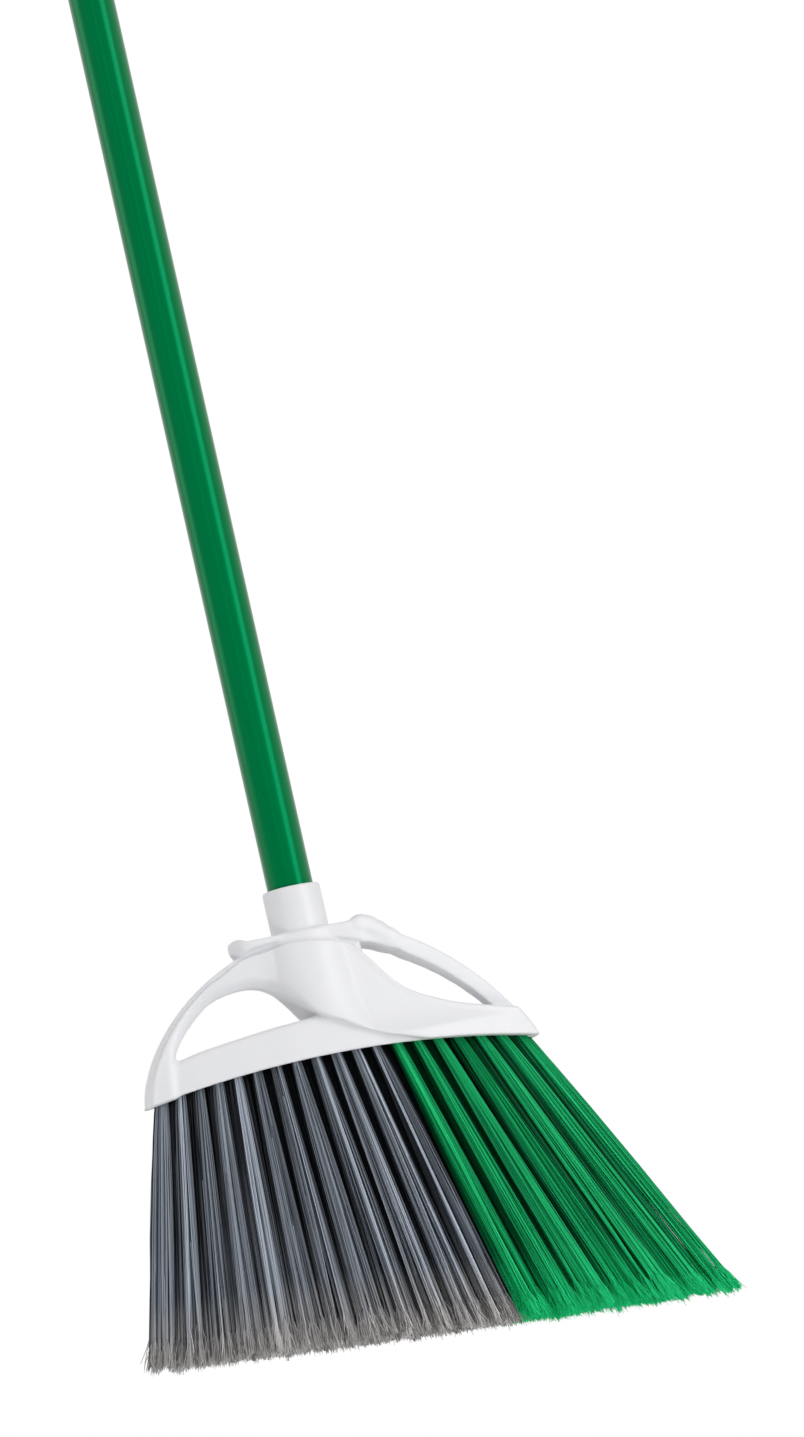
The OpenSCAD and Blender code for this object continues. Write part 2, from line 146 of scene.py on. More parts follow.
@dataclass(frozen=True)
class CoatedTube(Finish):
    """Glossy polypropylene coat drawn over a steel tube, with faint draw lines along it."""

    colour: str = "#006c36"
    deep: str = "#00622f"
    gloss: float = 0.8
    gloss_tint: str = "#00f0a4"
    line_mm: float = 2.5
    line_stretch: float = 400.0
    peel_mm: float = 3.0
    peel_stretch: float = 3.0
    peel_strength: float = 0.06
    peel_height: float = 0.0002

    def inputs(self, tree: Tree) -> Inputs:
        """Draw lines in the colour, orange peel in the normal and a tinted gloss."""
        # Draw lines run almost the whole length, a few millimetres apart.
        lines = noise(tree, self.line_mm, 2.0, self.line_stretch)
        span = {0: lines, "From Min": 0.3, "From Max": 0.7}
        ramp = add_node(tree, "MapRange", span).outputs["Result"]
        # Orange peel of the coat: low swellings, three times as long as they are wide.
        peel = noise(tree, self.peel_mm, 1.0, self.peel_stretch)
        # Pigment right under the surface tints the gloss seen head-on; the edges stay white.
        return {
            "Base Color": mixed(ramp, self.colour, self.deep),
            "Normal": bumped(peel, self.peel_strength, self.peel_height),
            "Specular IOR Level": self.gloss,
            "Specular Tint": self.gloss_tint,
        }


@dataclass(frozen=True)
class MouldedPlastic(Finish):
    """Injection-moulded polypropylene: satin, with a fine spark-eroded texture and faint flow."""

    colour: str = "#f1f1f3"
    flow: str = "#e9eaed"
    flow_mm: float = 25.0
    grain_mm: float = 0.7
    grain_strength: float = 0.12
    grain_height: float = 0.0001
    subsurface: float = 0.0
    subsurface_radius: tuple[float, float, float] = (1.0, 0.9, 0.75)
    subsurface_scale: float = 0.002

    def inputs(self, tree: Tree) -> Inputs:
        """Flow marks in the colour, the mould's texture in the normal and light let in."""
        # Flow marks are cloudy patches a few centimetres wide, hardly darker than the rest.
        cloud = noise(tree, self.flow_mm, 2.0)
        # The mould's real texture is about 0.1 mm. This one is coarse enough to show.
        grain = noise(tree, self.grain_mm, 2.0)
        return {
            "Base Color": mixed(cloud, self.colour, self.flow),
            "Normal": bumped(grain, self.grain_strength, self.grain_height),
            "Subsurface Weight": self.subsurface,
            "Subsurface Radius": self.subsurface_radius,
            "Subsurface Scale": self.subsurface_scale,
        }


@dataclass(frozen=True, kw_only=True)
class PolyesterFibre(Finish):
    """Extruded polyester fibre: glossy along its length, split and pale at the flagged tip."""

    dark: str
    light: str
    tip_dark: str
    tip_light: str
    # Colour of the painted shade that darkens fibres lying deep among the tufts.
    deep: str
    sheen: str
    gloss: float = 0.25

    def inputs(self, tree: Tree) -> Inputs:
        """Colour from each fibre's shade, painted shade by how deep it lies, and how near its tip
        it is.
        """
        shade, depth, flag = (
            add_node(tree, "Attribute", attribute_name=layer).outputs["Fac"]
            for layer in FIBRE_LAYERS
        )
        # Painted shade: the deeper a fibre lies among the tufts, the nearer it is mixed to the deep
        # colour.
        shaded = mixed(depth, mixed(shade, self.dark, self.light), self.deep)
        # The split hairs scatter more light, each by its own amount.
        frayed = mixed(shade, self.tip_dark, self.tip_light)
        return {
            "Base Color": mixed(flag, shaded, frayed),
            "Specular IOR Level": self.gloss,
            "Specular Tint": self.sheen,
        }


@dataclass(frozen=True)
class BareMetal(Finish):
    """Rolled or drawn metal with fine lines along its length."""

    colour: str = "#b8bcc0"
    line_mm: float = 0.4
    line_stretch: float = 60.0

    def inputs(self, tree: Tree) -> Inputs:
        """Plain metal whose roughness varies in lines."""
        # Real rolling lines are finer. These are coarse enough to show.
        lines = noise(tree, self.line_mm, 2.0, self.line_stretch)
        span = {0: lines, "To Min": self.roughness * 0.8, "To Max": self.roughness * 1.3}
        rough = add_node(tree, "MapRange", span).outputs["Result"]
        return {"Metallic": 1.0, "Base Color": self.colour, "Roughness": rough}


GREEN_COAT = CoatedTube("green_polypropylene_coat", 0.2, ior=1.45)
WHITE_PLASTIC = MouldedPlastic("white_moulded_polypropylene", 0.38, subsurface=0.12)
BLACK_PLASTIC = MouldedPlastic(
    "black_moulded_polypropylene", 0.45, colour="#1b1c1e", flow="#202124"
)
# The block is made near-black so that the roots between the tufts stay dark: painted shade.
BLOCK_PLASTIC = MouldedPlastic(
    "drilled_block_dark_for_painted_shade", 0.6, colour="#121314", flow="#17181a"
)
GREY_FIBRE = PolyesterFibre(
    "grey_polyester_fibre", 0.36, dark="#161d27", light="#ccd6e4", tip_dark="#6e6b6b",
    tip_light="#eae6e4", deep="#05070a", sheen="#d4dde8",
)
GREEN_FIBRE = PolyesterFibre(
    "green_polyester_fibre", 0.36, dark="#008446", light="#30e490", tip_dark="#08bc68",
    tip_light="#34f6a2", deep="#004020", sheen="#80f0c0",
)
STEEL = BareMetal("rolled_steel_tube", 0.35)
WIRE = BareMetal("brassed_flat_wire", 0.3, colour="#c8b070")

# ---- meshes


def make_piece(
    name: str, points: Array, quads: Array, triangles: Array | None = None
) -> bpy.types.Object:
    """Put worked-out points and faces into a smooth mesh object at the origin.

    Args:
        name: the piece's name.
        points: points in millimetres, one row each.
        quads: four point numbers a row.
        triangles: three point numbers a row, where there are any.

    Returns:
        The new object, linked to the scene.
    """
    triangles = np.zeros((0, 3), np.int32) if triangles is None else triangles
    loops = np.concatenate([quads.ravel(), triangles.ravel()]).astype(np.int32)
    quad_starts = np.arange(len(quads)) * 4
    triangle_starts = len(quads) * 4 + np.arange(len(triangles)) * 3
    starts = np.concatenate([quad_starts, triangle_starts]).astype(np.int32)
    mesh = bpy.data.meshes.new(name)
    mesh.vertices.add(len(points))
    mesh.vertices.foreach_set("co", (points * MM).astype(np.float32).ravel())
    mesh.loops.add(len(loops))
    mesh.loops.foreach_set("vertex_index", loops)
    mesh.polygons.add(len(starts))
    mesh.polygons.foreach_set("loop_start", starts)
    mesh.polygons.foreach_set("use_smooth", np.ones(len(starts), bool))
    mesh.update(calc_edges=True)
    mesh.validate()
    piece = bpy.data.objects.new(name, mesh)
    bpy.context.scene.collection.objects.link(piece)
    return piece


def dress(piece: bpy.types.Object, material: Material, body: str) -> None:
    """Give a piece its material and let it ride on a body."""
    piece.data.materials.append(material)
    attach(piece, body)
    LOG.info("%s: %d faces on %s", piece.name, len(piece.data.polygons), body)


def revolve(profile: Array, sides: int) -> tuple[Array, Array]:
    """Turn a closed profile round the Z axis.

    Each profile point at radius r and height z becomes a ring of points at r cos(a), r sin(a), z.

    Args:
        profile: radius and height of each point, anticlockwise seen with +Z up and radius right.
        sides: points round a ring.

    Returns:
        Points and quads of the closed ring-shaped surface.
    """
    angle = np.arange(sides) * 2 * math.pi / sides
    radius, height = profile[:, 0:1], profile[:, 1:2]
    ring = np.stack([radius * np.cos(angle), radius * np.sin(angle), height + 0 * angle], axis=-1)
    here = np.arange(len(profile) * sides).reshape(len(profile), sides)
    above = np.roll(here, -1, axis=0)
    corners = [here, np.roll(here, -1, axis=1), np.roll(above, -1, axis=1), above]
    return ring.reshape(-1, 3), np.stack(corners, axis=-1).reshape(-1, 4)


def smooth_curve(points: Curve | Array, steps: int = 6) -> Array:
    """Run a Catmull-Rom curve through points.

    Between points b and c, with neighbours a and d, the curve at t from 0 to 1 is half of
    2b + (c - a) t + (2a - 5b + 4c - d) t^2 + (3b - a - 3c + d) t^3.

    Args:
        points: the points that the curve passes.
        steps: pieces between two of them.

    Returns:
        Points along the curve.
    """
    p = np.asarray(points, float)
    p = np.concatenate([p[:1], p, p[-1:]])
    t = (np.arange(steps) / steps)[None, :, None]
    a, b, c, d = (p[i : len(p) - 3 + i, None, :] for i in range(4))
    square = 2 * a - 5 * b + 4 * c - d
    cube = 3 * b - a - 3 * c + d
    run = 0.5 * (2 * b + (c - a) * t + square * t**2 + cube * t**3)
    return np.concatenate([run.reshape(-1, 2), p[-1:]])


def over_curve(curve: Array, x: Array, z: Array) -> Array:
    """Signed distance in the front view to a curve, positive above it.

    The distance is the one to the nearest straight piece of the curve.

    Args:
        curve: points with growing x.
        x: x of each place.
        z: z of each place.

    Returns:
        The signed distances.
    """
    start, end = curve[:-1], curve[1:]
    span = end - start
    length2 = (span**2).sum(1)
    dx = x[..., None] - start[:, 0]
    dz = z[..., None] - start[:, 1]
    t = np.clip((dx * span[:, 0] + dz * span[:, 1]) / length2, 0, 1)
    distance = np.hypot(dx - t * span[:, 0], dz - t * span[:, 1]).min(-1)
    return np.where(z > np.interp(x, curve[:, 0], curve[:, 1]), distance, -distance)


def rounded(a: Array, b: Array, radius: Array | float) -> Array:
    """Cut one solid by another with a rounded edge.

    Both are distances that are negative inside. Near the edge the result is the distance to a
    quarter circle of the given radius.
    """
    u = np.maximum(a + radius, 0)
    v = np.maximum(b + radius, 0)
    return np.minimum(np.maximum(a, b), -radius) + np.hypot(u, v)


def eased(a: Array) -> Array:
    """Step from 0 to 1 with no crease at either end."""
    a = np.clip(a, 0, 1)
    return a * a * (3 - 2 * a)


def joined(a: Array, b: Array, radius: Array | float) -> Array:
    """Join two solids with a hollow fillet, so that their seam blends over about that radius."""
    blend = np.clip(0.5 + 0.5 * (b - a) / radius, 0, 1)
    return b + (a - b) * blend - radius * blend * (1 - blend)


def spread(a: Array) -> Array:
    """Repeat a front-view array through the depth."""
    return a[:, None, :]


def unit(a: Array) -> Array:
    """Scale every row to a length of one."""
    return a / np.linalg.norm(a, axis=1, keepdims=True)


@dataclass(frozen=True)
class Grid:
    """Even grid of places on which a moulded shape is worked out as a distance."""

    low: tuple[float, float, float]
    high: tuple[float, float, float]
    step: float

    def axes(self) -> tuple[Array, Array, Array]:
        """Places along X, Y and Z."""
        return tuple(np.arange(a, b + self.step, self.step) for a, b in zip(self.low, self.high))

    def skin(self, distance: Array) -> tuple[Array, Array]:
        """Points in millimetres and outward quads of the surface where the distance is zero."""
        volume = openvdb.FloatGrid(background=2.0)
        volume.copyFromArray(np.ascontiguousarray(np.clip(distance, -2, 2), np.float32))
        points, quads = volume.convertToQuads(isovalue=0.0)
        return points * self.step + np.array(self.low), quads


# ---- handle


@dataclass
class Handle:
    """Coated tube from the collar to the cap."""

    coat: float = 0.75
    lip: float = 0.25
    sides: int = 144
    lip_steps: int = 5
    sharp_degrees: float = 40.0

    def build(self) -> None:
        """Make the coat as a turned tube with rounded lips and dress the steel tube inside."""
        low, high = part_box("handle_sleeve")
        outer = (high.x - low.x) / 2 / MM
        inner = outer - self.coat
        bottom, top = low.z / MM, high.z / MM
        turn = np.linspace(0, math.pi / 2, self.lip_steps)
        curve = self.lip * np.stack([np.cos(turn), np.sin(turn)], -1)
        upper = curve + [outer - self.lip, top - self.lip]
        lower = (curve * [1, -1])[::-1] + [outer - self.lip, bottom + self.lip]
        inside = np.array([[inner, top], [inner, bottom]])
        points, quads = revolve(np.concatenate([lower, upper, inside]), self.sides)
        coat = make_piece("handle_coat", points, quads)
        coat.data.set_sharp_from_angle(angle=math.radians(self.sharp_degrees))
        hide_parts("handle_sleeve")
        dress(coat, GREEN_COAT.build(), "handle")
        paint_node("handle_tube", STEEL.build())
        paint_node("threaded_tip", BLACK_PLASTIC.build())


def paint_node(name: str, material: Material) -> None:
    """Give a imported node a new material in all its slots."""
    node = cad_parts[name]
    if not node.material_slots:
        node.data.materials.append(material)
    for place in node.material_slots:
        place.material = material


@dataclass
class HangerCap:
    """White cap at the top of the handle: a round neck and a flat tongue with the hanging hole."""

    tongue: float = 9.0
    neck: float = 5.0
    hole_radius: float = 4.0
    hole_edge: float = 1.0
    plug_inset: float = 1.3
    edge: float = 1.6
    brim: float = 0.8
    blend: float = 3.0
    margin: float = 2.0
    step: float = 0.45

    def build(self) -> None:
        """Work out the cap as one moulded shape.

        The tongue is a disc of the handle's radius about the hole, met by a straight stretch down
        to the neck, and cut to its thickness with rounded edges. The neck is a short cylinder.
        """
        low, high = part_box("hanger_cap")
        radius = (high.x - low.x) / 2 / MM
        plug_low, top = low.z / MM, high.z / MM
        neck_top = top - 2 * radius
        neck_bottom = neck_top - self.neck
        side = radius + self.margin
        low, high = (-side, -side, plug_low - self.margin), (side, side, top + self.margin)
        grid = Grid(low, high, self.step)
        x, y, z = np.meshgrid(*grid.axes(), indexing="ij")
        across = np.hypot(x, y)
        tongue = np.where(z > 0, np.hypot(x, z), np.abs(x)) - radius
        tongue = rounded(tongue, np.abs(y) - self.tongue / 2, self.edge)
        tongue = np.maximum(tongue, neck_bottom - z)
        tongue = rounded(tongue, across - radius, 0.3)
        neck = rounded(across - radius, np.maximum(z - neck_top, neck_bottom - z), self.brim)
        plug = np.maximum(across - radius + self.plug_inset, np.maximum(z - neck_top, plug_low - z))
        cap = joined(joined(tongue, neck, self.blend), plug, 0.1)
        cap = np.maximum(cap, across - radius)
        cap = rounded(cap, self.hole_radius - np.hypot(x, z), self.hole_edge)
        piece = make_piece("moulded_cap", *grid.skin(cap))
        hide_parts("hanger_cap")
        dress(piece, WHITE_PLASTIC.build(), "handle")


# ---- head


@dataclass
class FrontView:
    """Places in the front view of the head, with the distances that all its layers share."""

    x: Array
    z: Array
    away: Array
    outside: Array
    under: Array

    def layer(self, half: Array) -> Array:
        """Distance to a layer that has this half depth at each place."""
        return self.away - spread(half)


@dataclass
class HeadShell:
    """White moulded head: collar, shoulder, arch, web and skirt, the same front and back."""

    length: float = 192.0
    height: float = 69.0
    shift: float = 5.5
    fall: float = 0.0234
    power_short: float = 0.63
    power_long: float = 0.81
    skirt_depth: float = 42.0
    tip_depth: float = 10.0
    shoulder_depth: float = 28.0
    web_proud: float = 1.4
    edge_rise: float = 8.2
    wall: float = 2.6
    band: float = 8.5
    arch_tip_depth: float = 9.0
    arch_flat_half: float = 15.0
    arch_power: float = 1.4
    collar_radius: float = 13.95
    collar_height: float = 21.8
    seat_height: float = 9.8
    seat_radius: float = 11.45
    socket_radius: float = 9.9
    socket_end: float = -22.1
    face_inset: float = 1.5
    block_height: float = 10.0
    step: float = 0.8

    # Radii of the roundings, and how far the web's face lies in or out.
    outline_edge: float = 1.2
    crisp_edge: float = 0.5
    skirt_bevel: float = 3.6
    web_edge: float = 0.9
    arch_edge: float = 1.0
    bar_edge: float = 0.8
    bead_edge: float = 3.0
    bar_join: float = 1.6
    bead_join: float = 2.8
    drum_join: float = 13.0
    rim_inset: float = 1.8
    web_middle: float = -2.0
    drum_middle: float = -1.0
    dip_short: float = 3.2
    dip_long: float = 1.4
    web_sink: float = 5.0
    foot_sink: float = 2.4
    lip_height: float = 0.45
    core_depth: float = 2.2

    # Beads of the shoulder bar: place, rise of the top and radius. The long side's run down.
    ears: tuple[tuple[float, float, float], ...] = (
        (-32.8, 2.0, 3.4), (27.0, 2.4, 4.3), (31.5, 1.0, 4.3), (36.0, -2.4, 4.3),
        (40.5, -6.6, 4.3),
    )

    # Front-view curves, from the short side to the long side.
    web_top: Curve = (
        (-44.9, -14.3), (-32, -7.9), (-20, -6.3), (-8.1, -5.3), (9.2, -7.4), (17.9, -10),
        (21.3, -12.4), (24.1, -16), (28.1, -21.1), (31.9, -27), (36.9, -33.1), (41.5, -37.4),
        (48.6, -41.7), (56, -45.1), (63.5, -48.2), (73, -51), (86, -54.2), (104, -58.2),
    )
    web_low: Curve = (
        (-50, -24.4), (-45.3, -22.8), (-38.5, -21.6), (-31.8, -21.3), (-25.5, -22.5),
        (-20.7, -24.9), (-15, -28.9), (-9.5, -34.1), (-5, -39.4), (0, -43), (5.5, -45.8),
        (10, -48.8), (17, -52.8), (25, -56.5), (32, -59), (39, -61.3), (52, -65.4), (66, -70),
        (80, -76),
    )
    skirt_top: Curve = (
        (-110, -58), (-97, -54.8), (-76, -49.4), (-62.7, -46.6), (-53.6, -45.4), (-42, -44.2),
        (-25, -42.6), (-17, -42.3), (0, -41.3), (18, -43.5), (48, -49), (75, -55), (110, -62),
    )
    ribbon_low: Curve = (
        (-40, -10.5), (-32.4, -5.8), (-25, -3.6), (-19.5, -3), (-14.6, -2.9), (-8.6, -3.3),
        (-2.5, -4), (3.4, -4.8), (9.4, -5.7), (15.4, -6.6), (21.2, -8.4), (26.8, -10.9),
        (32.9, -13), (42.7, -17.4),
    )

    def dome(self, inset: float, steps: int = 96) -> Array:
        """Points of the head's outline, taken in all round.

        The height over the line of the tips is rise times (1 - (u / half)^2) to a power, where u
        is the distance from the middle. The power is smaller, and so the dome squarer, on the
        short side. The line of the tips falls evenly to the long side.
        """
        half = self.length / 2 - inset
        rise = self.height - inset
        u = -half * np.cos(np.linspace(0, math.pi, steps + 1))
        power = np.where(u < 0, self.power_short, self.power_long)
        z = -self.height - self.fall * u + rise * np.maximum(0, 1 - (u / half) ** 2) ** power
        return np.stack([self.shift + u, z], -1)

    def lens(self, x: Array, z: Array, proud: float) -> Array:
        """Half the depth of the head's leaning round walls at a place in the front view."""
        half = self.length / 2
        bulge = self.skirt_depth - self.tip_depth
        radius = (half**2 + (bulge / 2) ** 2) / bulge
        draft = (self.skirt_depth - self.shoulder_depth) / 2 / self.height
        here = radius - draft * (z + self.height) + proud
        chord = np.sqrt(np.maximum(here**2 - (x - self.shift) ** 2, 0))
        return chord - radius + self.skirt_depth / 2

    def edge_height(self, x: Array, lift: float = 0.0) -> Array:
        """Height of the skirt's arched lower edge, or of a face that lies this far over it.

        The edge is a circle through both tips, turned so that it falls to the long side.
        """
        radius = ((self.length / 2) ** 2 + self.edge_rise**2) / (2 * self.edge_rise)
        turn = math.atan(self.fall)
        middle = self.shift - radius * math.sin(turn)
        centre = -self.height + self.edge_rise - radius * math.cos(turn)
        return centre + np.sqrt((radius + lift) ** 2 - (x - middle) ** 2)

    def arch_half(self, x: Array) -> Array:
        """Half the depth of the arch band, full in the middle and slim at the tips."""
        half = self.length / 2
        flat = self.arch_flat_half
        reach = np.clip((np.abs(x - self.shift) - flat) / (half - flat), 0, 1)
        full = (self.shoulder_depth - self.arch_tip_depth) / 2
        return self.arch_tip_depth / 2 + full * (1 - reach) ** self.arch_power

    def trimmed(self, layer: Array, view: FrontView) -> Array:
        """Round a layer off at the head's outline and at its lower edge."""
        layer = rounded(layer, view.outside, self.outline_edge)
        return rounded(layer, view.under, self.crisp_edge)

    def skirt(self, view: FrontView) -> Array:
        """Distance to the skirt: a broad soft bevel along its top, a crisp lower edge."""
        top = over_curve(smooth_curve(self.skirt_top), view.x, view.z)
        skirt = view.layer(self.lens(view.x, view.z, 0))
        return self.trimmed(rounded(skirt, spread(top), self.skirt_bevel), view)

    def web_face(self, view: FrontView, below: Array) -> Array:
        """Half the depth of the web's face.

        Over the socket it is a drum, sqrt(crest^2 - x^2), and beside it the head's leaning wall
        taken in a little. On the short side it sinks towards the window, so that it looks down,
        and its foot runs out into the skirt's corner.

        Args:
            view: the front view.
            below: distance under the web's lower edge, negative inside the web.

        Returns:
            Half depths in the front view.
        """
        x, z = view.x, view.z
        dip = np.where(x < self.web_middle, self.dip_short, self.dip_long) * eased((z + 66) / 50)
        flat = self.lens(x, z, self.web_proud)
        flat = flat - dip * eased((np.abs(x - self.web_middle) - 4) / 20)
        crest = self.lens(x * 0, z, self.web_proud)
        drum = np.sqrt(np.maximum(crest**2 - (x - self.drum_middle) ** 2, 0))
        fade = np.clip((z + 58) / 22, 0, 1)
        face = -joined(-flat, -(drum * fade + flat * (1 - fade)), self.drum_join)
        sunk = self.web_sink * np.exp(below / 7) * eased((2 - x) / 24) * eased((x + 78) / 26)
        foot = self.foot_sink * eased((-46 - z) / 16) * eased((-54 - x) / 18)
        return face - sunk - foot

    def web(self, view: FrontView) -> tuple[Array, Array]:
        """Distances to the web and to the core that its face stands on.

        The web leaves the short side's arch, bulges over the socket and spreads into the skirt.
        The core fills the head behind it up to the arch's outline.
        """
        x, z = view.x, view.z
        rim, inner = self.dome(self.rim_inset), self.dome(self.band)
        rim = rim[rim[:, 0] < self.web_top[0][0] - 2]
        inner = inner[inner[:, 0] < self.web_low[0][0] - 2]
        top = np.concatenate([rim, smooth_curve(self.web_top)])
        low = np.concatenate([inner, smooth_curve(self.web_low)])
        over = over_curve(top, x, z)
        corner = x + 75.3 - 0.12 * (z + 52)
        below = joined(-over_curve(low, x, z), corner, 5.0)
        face = self.web_face(view, below)
        lip = self.lip_height * np.exp(-(((over + 0.9) / 1.1) ** 2))
        soft = 1.0 + 5.0 * np.clip((-8 - x) / 14, 0, 1) * np.clip((x + 96) / 30, 0, 1)
        web = rounded(view.layer(face + lip), spread(below), spread(soft))
        web = self.trimmed(rounded(web, spread(over), self.web_edge), view)
        core = rounded(view.layer(face - self.core_depth), view.outside, self.outline_edge)
        core = rounded(core, spread(np.maximum(below, x - 25.0)), 2.0)
        return web, np.maximum(core, view.under)

    def ribbon(self, view: FrontView) -> Array:
        """Distance to the shoulder bar with its beads and to the long side's arch."""
        x, z = view.x, view.z
        inner = self.dome(self.band)
        inner = inner[inner[:, 0] > self.ribbon_low[-1][0] + 3]
        edge = np.concatenate([smooth_curve(self.ribbon_low), inner])
        low = -over_curve(edge, x, z)
        half = self.arch_half(x)
        arch = rounded(view.layer(half), view.outside, self.arch_edge)
        arch = rounded(arch, spread(low), self.crisp_edge)
        arch = np.maximum(arch, spread(-30.0 - x))
        short_end, long_end = self.ears[0][0], self.ears[1][0]
        slim = np.sqrt(1 - np.clip((short_end + 8 - x) / 11.4, 0, 0.999) ** 2)
        half = np.where(x < self.shift, self.shoulder_depth / 2 * slim, half + 0.3)
        bar = np.maximum(short_end - x, x - long_end)
        bar = np.maximum(bar, np.maximum(z, low))
        ribbon = joined(arch, rounded(view.layer(half), spread(bar), self.bar_edge), self.bar_join)
        for place, rise, radius in self.ears:
            bead = np.hypot(x - place, z + radius - rise) - radius
            bead = rounded(view.layer(half), spread(bead), self.bead_edge)
            ribbon = joined(ribbon, bead, self.bead_join)
        return ribbon

    def layers(self, x: Array, z: Array, y: Array) -> Array:
        """Distance to the head in which every layer is an outline with its own half depth.

        Args:
            x: x of the front-view grid.
            z: z of the front-view grid.
            y: distances from the middle plane.

        Returns:
            Signed distances indexed by x, y and z.
        """
        xf, zf = np.meshgrid(x, z, indexing="ij")
        beyond = np.abs(xf - self.shift) - self.length / 2
        outside = spread(np.maximum(over_curve(self.dome(0), xf, zf), beyond))
        under = spread(self.edge_height(xf) - zf)
        view = FrontView(xf, zf, np.abs(y)[None, :, None], outside, under)
        web, core = self.web(view)
        seam = 0.05 + 3.5 * np.clip((-58 - xf) / 15, 0, 1)
        shell = joined(self.skirt(view), web, spread(seam))
        return np.minimum(shell, np.minimum(core, self.ribbon(view)))

    def distance(self, grid: Grid) -> Array:
        """Distance to the whole head: layers and collar, less the socket and the pocket."""
        x, y, z = grid.axes()
        shell = self.layers(x, z, y)
        across = np.hypot(x[:, None], y[None, :])[:, :, None]
        up = z[None, None, :]
        collar = rounded(across - self.collar_radius, up - self.collar_height, 0.7)
        collar = np.maximum(collar, self.socket_end - self.wall - up)
        shell = joined(shell, collar, 1.0)
        seat = np.maximum(across - self.seat_radius, self.seat_height - up)
        socket = np.maximum(across - self.socket_radius, self.socket_end - up)
        shell = rounded(shell, -np.minimum(seat, socket), 0.35)
        xf, zf = np.meshgrid(x, z, indexing="ij")
        walls = np.abs(y)[None, :, None] - spread(self.lens(xf, zf, -self.wall))
        roof = zf - self.edge_height(xf, self.face_inset + self.block_height)
        roof = np.maximum(over_curve(self.dome(self.wall), xf, zf), roof)
        return np.maximum(shell, -np.maximum(walls, spread(roof)))

    def shoulder(self) -> float:
        """Height of the shoulder's top face in the frame, in millimetres."""
        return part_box("head_shell")[1].z / MM - self.collar_height

    def build(self) -> None:
        """Work the head out on a grid, find its skin and put it in its place."""
        half = self.length / 2
        low = (self.shift - half - 3, -25.0, -self.height - self.fall * half - 3)
        high = (self.shift + half + 3, 25.0, self.collar_height + 3)
        grid = Grid(low, high, self.step)
        points, quads = grid.skin(self.distance(grid))
        piece = make_piece("moulded_head", points + [0, 0, self.shoulder()], quads)
        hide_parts("head_shell")
        dress(piece, WHITE_PLASTIC.build(), "head")
        # The near-black block paints shade at the tufts' roots.
        paint_node("bristle_block", BLOCK_PLASTIC.build())


# ---- tufts


class Hue(Enum):
    """Colour of a tuft, with its finish and record slot."""

    GREY = ("grey", GREY_FIBRE, "grey_fibre")
    GREEN = ("green", GREEN_FIBRE, "green_fibre")


@dataclass
class Bundle:
    """Fibres as centre lines: radius, painted shade depth and flag at each point, one shade a line.
    """

    lines: Array
    radii: Array
    shade: Array
    depth: Array
    flag: Array

    def tubes(self) -> tuple[Array, Array, Array]:
        """Carry a three-sided section along every line.

        Corner j of the section at a point lies at the point plus radius times cos(a) along one
        side and sin(a) along the other, where a is a third of a turn times j and both sides stand
        square to the line's whole run.

        Returns:
            Points, quads along the lines and the triangles that close both ends.
        """
        count, levels = self.lines.shape[:2]
        heading = unit(self.lines[:, -1] - self.lines[:, 1])
        side = unit(np.cross(heading, [0.0, 1.0, 0.0]))
        other = np.cross(heading, side)
        angle = (np.arange(3) * 2 * math.pi / 3 + 0.5)[None, :, None]
        ring = side[:, None] * np.cos(angle) + other[:, None] * np.sin(angle)
        points = self.lines[:, :, None] + ring[:, None] * self.radii[:, :, None, None]
        index = np.arange(count * levels * 3).reshape(count, levels, 3)
        on = np.roll(index, -1, axis=2)
        quads = np.stack([index[:, :-1], index[:, 1:], on[:, 1:], on[:, :-1]], -1)
        caps = np.concatenate([index[:, 0, :], index[:, -1, ::-1]])
        return points.reshape(-1, 3), quads.reshape(-1, 4), caps.reshape(-1, 3)

    def layers(self) -> tuple[Array, ...]:
        """Shade, painted shade depth and flag at every corner of the sections."""
        values = (self.shade[:, None], self.depth, self.flag)
        return tuple(np.repeat(np.broadcast_to(v, self.radii.shape).ravel(), 3) for v in values)


